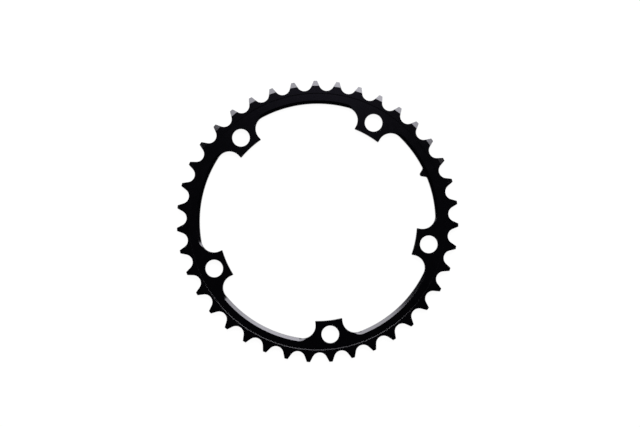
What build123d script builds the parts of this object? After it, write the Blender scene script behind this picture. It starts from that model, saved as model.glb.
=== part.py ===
from build123d import *
import os
from math import asin, ceil, cos, pi, radians, sin, sqrt, tan

# Chain and tooth form, in millimetres and degrees
TOOTH_COUNT = 39
CHAIN_PITCH = 12.7
ROLLER_DIAMETER = 7.75
ROOT_CLEARANCE = 0.07
GAP_RADIUS = 4.42
FLANK_ANGLE = 23.0
TIP_HEIGHT = 1.75
TIP_CORNER_RADIUS = 0.3
TOOTH_THICKNESS = 2.1
FRONT_TIP_BEVEL_WIDTH = 2.9
FRONT_TIP_BEVEL_DROP = 0.75
REAR_TIP_BEVEL_WIDTH = 2.0
REAR_TIP_BEVEL_DROP = 0.35

# Rim between the tooth roots and the open middle
TOOTH_BAND_DEPTH = 1.37
RIM_DEPTH = 7.42
SEAT_THICKNESS = 3.4
SEAT_RECESS = 0.25
REAR_STEP_RUN = 1.2
RIM_BEVEL_WIDTH = 1.8
RIM_BEVEL_DROP = 0.8
RIM_BEVEL_SETBACK = 3.65
RIM_BEVEL_CORNER_RADIUS = 6.0

# Bolt tabs
BOLT_COUNT = 5
BOLT_CIRCLE_DIAMETER = 130.0
BOLT_HOLE_DIAMETER = 10.1
NUT_RECESS_DIAMETER = 12.4
NUT_RECESS_DEPTH = 0.9
TAB_WIDTH = 15.6
TAB_REACH = 8.0
TAB_CORNER_RADIUS = 0.4
SCALLOP_RADIUS = 7.3

# Index nub that lines up with the crank arm
NUB_ANGLE = 90.0
NUB_HEIGHT = 3.1
NUB_TIP_RADIUS = 1.3
NUB_SIDE_ANGLE = 33.0
NUB_BASE_RADIUS = 1.5

# Depth to which the nub is rooted in the rim
NUB_ROOT_DEPTH = 2.0

# Teeth of the ring, at least as many as keep their roots outside the bolt holes
root_drop = ROLLER_DIAMETER / 2 + ROOT_CLEARANCE
hole_reach = (BOLT_CIRCLE_DIAMETER + BOLT_HOLE_DIAMETER) / 2
least_pitch_radius = hole_reach + SEAT_RECESS + TOOTH_BAND_DEPTH + root_drop
tooth_count = max(TOOTH_COUNT, ceil(pi / asin(CHAIN_PITCH / 2 / least_pitch_radius)))

# Sizes that follow from those above
tooth_step = 360 / tooth_count
bolt_step = 360 / BOLT_COUNT
pitch_radius = CHAIN_PITCH / 2 / sin(radians(tooth_step / 2))
root_radius = pitch_radius - root_drop
tip_radius = pitch_radius + TIP_HEIGHT
band_radius = root_radius - TOOTH_BAND_DEPTH
rim_radius = root_radius - RIM_DEPTH
bore_radius = BOLT_CIRCLE_DIAMETER / 2 - TAB_REACH
front_level = SEAT_THICKNESS + SEAT_RECESS
tooth_rear_level = front_level - TOOTH_THICKNESS
bevel_level = SEAT_THICKNESS - RIM_BEVEL_DROP
first_bolt_angle = NUB_ANGLE + bolt_step / 2
gap_angle = first_bolt_angle + bolt_step


def polar(radius, angle):
    return Vector(radius * cos(radians(angle)), radius * sin(radians(angle)))


def turned(point, angle):
    return point.rotate(Axis.Z, angle)


def mirrored(point):
    return Vector(point.X, -point.Y)


def inner_touch(start, heading, side, radius, outer_radius):
    """Centre of a circle that touches a line on one side and the round of outer_radius from inside."""
    base = start + side * radius
    along = base.dot(heading)
    reach = outer_radius - radius
    return base + heading * (sqrt(along**2 - base.dot(base) + reach**2) - along)


def tooth_face():
    """Outline of all the teeth: round gaps, straight flanks and flat tips with rounded corners."""
    flank_turn = FLANK_ANGLE + tooth_step / 2
    heading = polar(1, flank_turn)
    into_tooth = polar(1, flank_turn + 90)
    root = Vector(root_radius, 0)
    seat_end = Vector(root_radius + GAP_RADIUS, 0) + into_tooth * GAP_RADIUS
    corner = inner_touch(seat_end, heading, into_tooth, TIP_CORNER_RADIUS, tip_radius)
    flank_end = corner - into_tooth * TIP_CORNER_RADIUS
    tip_start = corner.normalized() * tip_radius
    edges = []
    for tooth in range(tooth_count):
        here = gap_angle + tooth * tooth_step
        edges.append(ThreePointArc(*[turned(p, here) for p in (mirrored(seat_end), root, seat_end)]))
        for place in (lambda p: turned(p, here), lambda p: turned(mirrored(p), here)):
            edges.append(Line(place(seat_end), place(flank_end)))
            edges.append(TangentArc(place(flank_end), place(tip_start), tangent=place(heading)))
        tip_end = turned(mirrored(tip_start), tooth_step)
        tip_middle = polar(tip_radius, tooth_step / 2)
        edges.append(ThreePointArc(*[turned(p, here) for p in (tip_start, tip_middle, tip_end)]))
    return make_face(edges)


def turned_blank():
    """Body of revolution: thick seat, thin tooth band with bevelled tips, sloping steps between them."""
    outline = Polyline(
        (band_radius, front_level),
        (tip_radius - FRONT_TIP_BEVEL_WIDTH, front_level),
        (tip_radius, front_level - FRONT_TIP_BEVEL_DROP),
        (tip_radius, tooth_rear_level + REAR_TIP_BEVEL_DROP),
        (tip_radius - REAR_TIP_BEVEL_WIDTH, tooth_rear_level),
        (band_radius, tooth_rear_level),
        (band_radius - REAR_STEP_RUN, 0),
        (bore_radius, 0),
        (bore_radius, SEAT_THICKNESS),
        (band_radius - SEAT_RECESS, SEAT_THICKNESS),
        close=True,
    )
    return revolve(Plane.XZ * make_face(outline), Axis.Z)


def window_face(margin, corner_radius, radius):
    """Window between two tabs with rounded outer corners, at a margin from the middle line of each tab."""
    apex = Vector(margin / tan(radians(bolt_step / 2)), margin)
    centre = inner_touch(apex, Vector(1, 0), Vector(0, 1), corner_radius, radius)
    side_end = Vector(centre.X, margin)
    rim_end = centre.normalized() * radius
    far_side_end = turned(mirrored(side_end), bolt_step)
    far_rim_end = turned(mirrored(rim_end), bolt_step)
    edges = [
        Line(apex, side_end),
        TangentArc(side_end, rim_end, tangent=(1, 0)),
        ThreePointArc(rim_end, polar(radius, bolt_step / 2), far_rim_end),
        TangentArc(far_side_end, far_rim_end, tangent=polar(1, bolt_step)),
        Line(far_side_end, apex),
    ]
    return make_face(edges)


def window():
    """Cut for one window, right through the ring, with a front bevel that runs out in the scallops."""
    straight = window_face(TAB_WIDTH / 2, SCALLOP_RADIUS, rim_radius)
    top_margin = TAB_WIDTH / 2 + RIM_BEVEL_SETBACK
    top = window_face(top_margin, RIM_BEVEL_CORNER_RADIUS, rim_radius + RIM_BEVEL_WIDTH)
    low = window_face(top_margin + RIM_BEVEL_WIDTH, RIM_BEVEL_CORNER_RADIUS - RIM_BEVEL_WIDTH, rim_radius)
    bevel = loft([Pos(0, 0, bevel_level) * low, Pos(0, 0, SEAT_THICKNESS) * top], ruled=True)
    return extrude(straight, front_level) + bevel


def nub():
    """Small pointed nub with a round tip and round base corners, on the X axis."""
    tip = Vector(rim_radius - NUB_HEIGHT + NUB_TIP_RADIUS, 0)
    heading = polar(1, NUB_SIDE_ANGLE)
    outside = polar(1, NUB_SIDE_ANGLE + 90)
    side_start = tip + outside * NUB_TIP_RADIUS
    base = inner_touch(side_start, heading, outside, NUB_BASE_RADIUS, rim_radius)
    side_end = base - outside * NUB_BASE_RADIUS
    rim_end = base.normalized() * rim_radius
    root = rim_end + Vector(NUB_ROOT_DEPTH, 0)
    front = Vector(rim_radius - NUB_HEIGHT, 0)
    edges = [
        ThreePointArc(mirrored(side_start), front, side_start),
        Line(root, mirrored(root)),
    ]
    for place in (lambda p: p, mirrored):
        edges.append(Line(place(side_start), place(side_end)))
        edges.append(TangentArc(place(side_end), place(rim_end), tangent=place(heading)))
        edges.append(Line(place(rim_end), place(root)))
    return extrude(make_face(edges), bevel_level)


chainring = turned_blank() & extrude(tooth_face(), front_level)
hole = Cylinder(BOLT_HOLE_DIAMETER / 2, front_level, align=(Align.CENTER, Align.CENTER, Align.MIN))
recess = Cylinder(NUT_RECESS_DIAMETER / 2, NUT_RECESS_DEPTH, align=(Align.CENTER, Align.CENTER, Align.MIN))
for bolt in range(BOLT_COUNT):
    to_bolt = Rot(0, 0, first_bolt_angle + bolt * bolt_step)
    chainring -= to_bolt * window()
    chainring -= to_bolt * Pos(BOLT_CIRCLE_DIAMETER / 2, 0, 0) * hole
    chainring -= to_bolt * Pos(BOLT_CIRCLE_DIAMETER / 2, 0, 0) * recess
tab_corners = chainring.edges().filter_by(Axis.Z).sort_by_distance((0, 0, 0))[: 2 * BOLT_COUNT]
chainring = fillet(tab_corners, TAB_CORNER_RADIUS)
chainring += Rot(0, 0, NUB_ANGLE) * nub()

os.makedirs("parts", exist_ok=True)
export_step(chainring, "parts/chainring.step")
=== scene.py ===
from math import cos, pi, radians, sin

import bmesh
import bpy
from mathutils import Matrix, Vector


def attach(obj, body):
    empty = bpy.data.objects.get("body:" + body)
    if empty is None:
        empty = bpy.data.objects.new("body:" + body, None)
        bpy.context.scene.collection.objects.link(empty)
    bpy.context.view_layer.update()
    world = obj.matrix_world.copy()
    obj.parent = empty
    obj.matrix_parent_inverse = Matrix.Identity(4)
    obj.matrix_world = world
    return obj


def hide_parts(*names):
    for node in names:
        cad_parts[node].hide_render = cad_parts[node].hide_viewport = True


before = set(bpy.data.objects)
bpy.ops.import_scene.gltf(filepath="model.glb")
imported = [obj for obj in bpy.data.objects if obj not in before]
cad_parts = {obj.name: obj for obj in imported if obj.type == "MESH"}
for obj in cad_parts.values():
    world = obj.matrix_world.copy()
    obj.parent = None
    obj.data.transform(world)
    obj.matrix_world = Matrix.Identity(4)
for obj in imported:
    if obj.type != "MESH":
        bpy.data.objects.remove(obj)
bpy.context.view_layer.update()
scene = bpy.context.scene

# Picture: the ring seen square from the front and turned by this angle; lengths are in metres throughout
PICTURE_TURN = radians(65.57)
PICTURE_WIDTH = 0.3662
PICTURE_MIDDLE = (0.00139, 0.00462)
FRONT_LEVEL = 0.00365
LENS = 85.0
SENSOR = 36.0

# Edges of the ring: where the solid's faces meet at an angle, and how far the sharp ones are broken
WELD_DISTANCE = 1e-7
FLAT_ANGLE = 0.005
CREASE_ANGLE = radians(9.3)
BROKEN_ANGLE = radians(18.0)
SHARP_ANGLE = radians(35.0)
EDGE_BREAK = 0.00005
STEP_BREAK = 0.0001
BREAK_SEGMENTS = 3
ROUND_PROFILE = 0.5
STEP_FOOT = 0.0033
STEP_RADII = (0.0732, 0.0738)
FACE_AREA_WEIGHT = 100

# Anodised finish: colours of the dyed oxide, its gloss, and the sizes of its marks
DYE_DARK = (0.0001, 0.0001, 0.0005, 1)
DYE_LIGHT = (0.0005, 0.0003, 0.0012, 1)
GLOSS_TINT = (0.93, 0.915, 1.0, 1)
OXIDE_IOR = 1.72
ROUGHNESS_RANGE = (0.155, 0.195)
PATCH_SIZE = 0.004
PATCH_DETAIL = 3.0
GRAIN_SIZE = 0.00012
GRAIN_DETAIL = 1.0
TURNING_SIZE = 0.0003
TURNING_DETAIL = 2.0
TURNING_SHARE = 4.0
GRAIN_HEIGHT = 8e-7

# Lamps: shape, polar angle and azimuth in degrees on the picture's axes, width and height, brightness, colour
SOFTBOX_LEVEL = 5.05
NEUTRAL = (1, 1, 1)
VIOLET = (0.74, 0.68, 1.0)
LAMPS = {
    "softbox": ("RECTANGLE", 35.7, 84.2, (1.163, 0.37), SOFTBOX_LEVEL, NEUTRAL),
    "softbox_middle": ("ELLIPSE", 38.5, 73.7, (0.497, 0.12), 2.5, NEUTRAL),
    "softbox_right": ("ELLIPSE", 50.0, 35.0, (0.12, 0.12), SOFTBOX_LEVEL, NEUTRAL),
    "softbox_left": ("ELLIPSE", 50.0, 133.0, (0.09, 0.09), SOFTBOX_LEVEL, NEUTRAL),
    "spill": ("ELLIPSE", 13.8, 87.7, (0.20, 0.24), 0.165, VIOLET),
}
SHAPE_SHARE = {"RECTANGLE": 1.0, "ELLIPSE": pi / 4}
LAMP_DISTANCE = 1.0

# Surroundings: floor and backdrop white to the eye, the light round the ring, and what its gloss shows
WHITE = (1, 1, 1, 1)
FLOOR_RADIUS = 3.0
FLOOR_SIDES = 96
FLOOR_DROP = 0.0001
FLOOR_COLOUR = (0.12, 0.12, 0.12, 1)
FLOOR_ROUGHNESS = 0.9
FLOOR_GLOW = 0.94
BACKDROP_GLOW = 1.0
AMBIENT = 0.35
WALL_GLOW = 0.1
WALL_TOP = 0.35
OVERHEAD = 0.002


def on_picture(x, y, z):
    """Turns a place or direction on the picture's axes into the CAD frame."""
    return Matrix.Rotation(PICTURE_TURN, 3, "Z") @ Vector((x, y, z))


def make_camera():
    """Camera that looks straight down on the front of the ring."""
    data = bpy.data.cameras.new("camera")
    data.lens = LENS
    data.sensor_width = SENSOR
    camera = bpy.data.objects.new("camera", data)
    scene.collection.objects.link(camera)
    distance = PICTURE_WIDTH * LENS / SENSOR
    camera.location = on_picture(*PICTURE_MIDDLE, FRONT_LEVEL + distance)
    camera.rotation_euler = (0, 0, PICTURE_TURN)
    scene.camera = camera


def feed(tree, socket, value):
    """Gives a socket another node's output, or a plain value."""
    if isinstance(value, bpy.types.NodeSocket):
        tree.links.new(value, socket)
    else:
        socket.default_value = value


def calculate(tree, operation, *values):
    """Result of a math node on outputs and plain numbers."""
    node = tree.nodes.new("ShaderNodeMath")
    node.operation = operation
    for socket, value in zip(node.inputs, values):
        feed(tree, socket, value)
    return node.outputs["Value"]


def mix(tree, factor, first, second, data_type="FLOAT"):
    """First value at factor 0 and second value at factor 1."""
    node = tree.nodes.new("ShaderNodeMix")
    node.data_type = data_type
    feed(tree, node.inputs["Factor"], factor)
    feed(tree, node.inputs["A"], first)
    feed(tree, node.inputs["B"], second)
    return node.outputs["Result"]


def noise(tree, place, size, detail, dimensions="3D"):
    """Noise with marks of about this size, over places or over one number."""
    node = tree.nodes.new("ShaderNodeTexNoise")
    node.noise_dimensions = dimensions
    node.inputs["Scale"].default_value = 1 / size
    node.inputs["Detail"].default_value = detail
    tree.links.new(place, node.inputs["W" if dimensions == "1D" else "Vector"])
    return node.outputs["Fac"]


def axis_distance(tree, place):
    """Distance of a place from the ring's axis."""
    flat = tree.nodes.new("ShaderNodeVectorMath")
    flat.operation = "MULTIPLY"
    flat.inputs[1].default_value = (1, 1, 0)
    tree.links.new(place, flat.inputs[0])
    distance = tree.nodes.new("ShaderNodeVectorMath")
    distance.operation = "LENGTH"
    tree.links.new(flat.outputs["Vector"], distance.inputs[0])
    return distance.outputs["Value"]


def anodised():
    """Black dyed oxide with soft patches, a fine grain and faint marks of turning round the axis."""
    material = bpy.data.materials.new("black_anodised")
    material.use_nodes = True
    tree = material.node_tree
    shader = tree.nodes["Principled BSDF"]
    shader.inputs["IOR"].default_value = OXIDE_IOR
    shader.inputs["Specular Tint"].default_value = GLOSS_TINT
    place = tree.nodes.new("ShaderNodeTexCoord").outputs["Object"]
    turning = noise(tree, axis_distance(tree, place), TURNING_SIZE, TURNING_DETAIL, "1D")
    grain = noise(tree, place, GRAIN_SIZE, GRAIN_DETAIL)
    patches = noise(tree, place, PATCH_SIZE, PATCH_DETAIL)

    dye = mix(tree, patches, DYE_DARK, DYE_LIGHT, "RGBA")
    tree.links.new(dye, shader.inputs["Base Color"])

    roughness = tree.nodes.new("ShaderNodeMapRange")
    roughness.inputs["To Min"].default_value = ROUGHNESS_RANGE[0]
    roughness.inputs["To Max"].default_value = ROUGHNESS_RANGE[1]
    tree.links.new(patches, roughness.inputs["Value"])
    tree.links.new(roughness.outputs["Result"], shader.inputs["Roughness"])

    bump = tree.nodes.new("ShaderNodeBump")
    bump.inputs["Distance"].default_value = GRAIN_HEIGHT
    marks = calculate(tree, "MULTIPLY_ADD", turning, TURNING_SHARE, grain)
    tree.links.new(marks, bump.inputs["Height"])
    tree.links.new(bump.outputs["Normal"], shader.inputs["Normal"])
    return material


def on_step(place):
    """Whether a place lies on the step between the seat and the front of the tooth band."""
    return place.z > STEP_FOOT and STEP_RADII[0] < place.xy.length < STEP_RADII[1]


def break_edges(bm, edges, size):
    """Rounds edges over by this size and returns the faces of the rounds."""
    made = bmesh.ops.bevel(
        bm, geom=edges, offset=size, offset_type="OFFSET", segments=BREAK_SEGMENTS, profile=ROUND_PROFILE,
        affect="EDGES", clamp_overlap=False, loop_slide=True)
    return set(made["faces"])


def carry_creases(bm, strips):
    """Carries each crease that ends at a broken edge on across the strip of that edge."""
    for vert in [v for v in bm.verts if sum(not edge.smooth for edge in v.link_edges) == 1]:
        passed = set()
        while vert:
            ahead = [edge for edge in vert.link_edges
                     if strips.issuperset(edge.link_faces) and passed.isdisjoint(edge.link_faces)]
            if len(ahead) != 1:
                break
            ahead[0].smooth = False
            passed = set(ahead[0].link_faces)
            vert = ahead[0].other_vert(vert)


def joined_solid():
    """The CAD solid with its faces welded and its flat ones joined up, and the creases along its outlines."""
    bm = bmesh.new()
    bm.from_mesh(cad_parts["chainring"].data)
    border = bm.edges.layers.int.new("border")
    for edge in bm.edges:
        edge[border] = edge.is_boundary
    bmesh.ops.remove_doubles(bm, verts=bm.verts, dist=WELD_DISTANCE)
    bmesh.ops.dissolve_limit(bm, angle_limit=FLAT_ANGLE, verts=bm.verts, edges=bm.edges)
    creases = [edge for edge in bm.edges if edge[border] and edge.calc_face_angle() > CREASE_ANGLE]
    return bm, creases


def make_ring():
    """The solid with its sharp edges broken and its shallow creases kept crisp."""
    bm, creases = joined_solid()
    broken = [edge for edge in creases if edge.calc_face_angle() > BROKEN_ANGLE]
    for edge in creases:
        edge.smooth = edge.calc_face_angle() > BROKEN_ANGLE
    step = [edge for edge in broken if all(on_step(vert.co) for vert in edge.verts)]
    others = [edge for edge in broken if edge not in step]
    break_edges(bm, step, STEP_BREAK)
    carry_creases(bm, break_edges(bm, others, EDGE_BREAK))
    for face in bm.faces:
        face.smooth = True
    for edge in bm.edges:
        if edge.calc_face_angle(0) > SHARP_ANGLE:
            edge.smooth = False
    mesh = bpy.data.meshes.new("ring")
    bm.to_mesh(mesh)
    bm.free()
    mesh.materials.append(anodised())
    ring = bpy.data.objects.new("ring", mesh)
    scene.collection.objects.link(ring)
    weighted = ring.modifiers.new("weighted", "WEIGHTED_NORMAL")
    weighted.keep_sharp = True
    weighted.weight = FACE_AREA_WEIGHT
    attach(ring, "root")
    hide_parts("chainring")


def ray_kinds(tree):
    """Whether a ray comes from the eye, also through glass, and whether it comes from a gloss, as 1 or 0."""
    path = tree.nodes.new("ShaderNodeLightPath")
    direct = calculate(tree, "MAXIMUM", path.outputs["Is Camera Ray"], path.outputs["Is Transmission Ray"])
    return direct, path.outputs["Is Glossy Ray"]


def floor_finish():
    """Pale floor that glows white to the eye and in a gloss, keeps a shadow, and is clear from below."""
    material = bpy.data.materials.new("floor")
    material.use_nodes = True
    tree = material.node_tree
    shader = tree.nodes["Principled BSDF"]
    shader.inputs["Base Color"].default_value = FLOOR_COLOUR
    shader.inputs["Roughness"].default_value = FLOOR_ROUGHNESS
    shader.inputs["Specular IOR Level"].default_value = 0.0
    shader.inputs["Emission Color"].default_value = WHITE
    seen = calculate(tree, "MAXIMUM", *ray_kinds(tree))
    glow = calculate(tree, "MULTIPLY", seen, FLOOR_GLOW)
    tree.links.new(glow, shader.inputs["Emission Strength"])
    one_sided = tree.nodes.new("ShaderNodeMixShader")
    below = tree.nodes.new("ShaderNodeNewGeometry").outputs["Backfacing"]
    clear = tree.nodes.new("ShaderNodeBsdfTransparent").outputs["BSDF"]
    tree.links.new(below, one_sided.inputs[0])
    tree.links.new(shader.outputs["BSDF"], one_sided.inputs[1])
    tree.links.new(clear, one_sided.inputs[2])
    tree.links.new(one_sided.outputs["Shader"], tree.nodes["Material Output"].inputs["Surface"])
    return material


def make_floor():
    """Round floor just under the ring."""
    bm = bmesh.new()
    bmesh.ops.create_circle(bm, cap_ends=True, segments=FLOOR_SIDES, radius=FLOOR_RADIUS)
    mesh = bpy.data.meshes.new("floor")
    bm.to_mesh(mesh)
    bm.free()
    mesh.materials.append(floor_finish())
    floor = bpy.data.objects.new("floor", mesh)
    floor.location.z = -FLOOR_DROP
    scene.collection.objects.link(floor)


def make_lamp(name, shape, polar, azimuth, size, level, colour):
    """Area lamp that faces the ring with an even brightness of this level."""
    data = bpy.data.lights.new(name, "AREA")
    data.shape = shape
    data.size, data.size_y = size
    area = SHAPE_SHARE[shape] * size[0] * size[1]
    data.energy = level * pi * area
    data.color = colour
    lamp = bpy.data.objects.new(name, data)
    scene.collection.objects.link(lamp)
    lean, turn = radians(polar), radians(azimuth)
    direction = on_picture(sin(lean) * cos(turn), sin(lean) * sin(turn), cos(lean))
    lamp.location = direction * LAMP_DISTANCE
    lamp.rotation_euler = direction.to_track_quat("Z", "Y").to_euler()
    lamp.visible_camera = False


def make_world():
    """White to the eye; in the ring's gloss pale walls round about and dark overhead."""
    world = bpy.data.worlds.new("world")
    scene.world = world
    world.use_nodes = True
    tree = world.node_tree
    background = tree.nodes["Background"]
    background.inputs["Color"].default_value = WHITE
    direct, glossy = ray_kinds(tree)
    height = tree.nodes.new("ShaderNodeSeparateXYZ")
    tree.links.new(tree.nodes.new("ShaderNodeTexCoord").outputs["Generated"], height.inputs["Vector"])
    walls = tree.nodes.new("ShaderNodeMapRange")
    walls.interpolation_type = "SMOOTHSTEP"
    walls.inputs["From Max"].default_value = WALL_TOP
    walls.inputs["To Min"].default_value = WALL_GLOW
    walls.inputs["To Max"].default_value = OVERHEAD
    tree.links.new(height.outputs["Z"], walls.inputs["Value"])
    unseen = mix(tree, glossy, AMBIENT, walls.outputs["Result"])
    strength = mix(tree, direct, unseen, BACKDROP_GLOW)
    tree.links.new(strength, background.inputs["Strength"])


scene.view_settings.view_transform = "Standard"
make_camera()
make_ring()
make_floor()
for name, lamp in LAMPS.items():
    make_lamp(name, *lamp)
make_world()
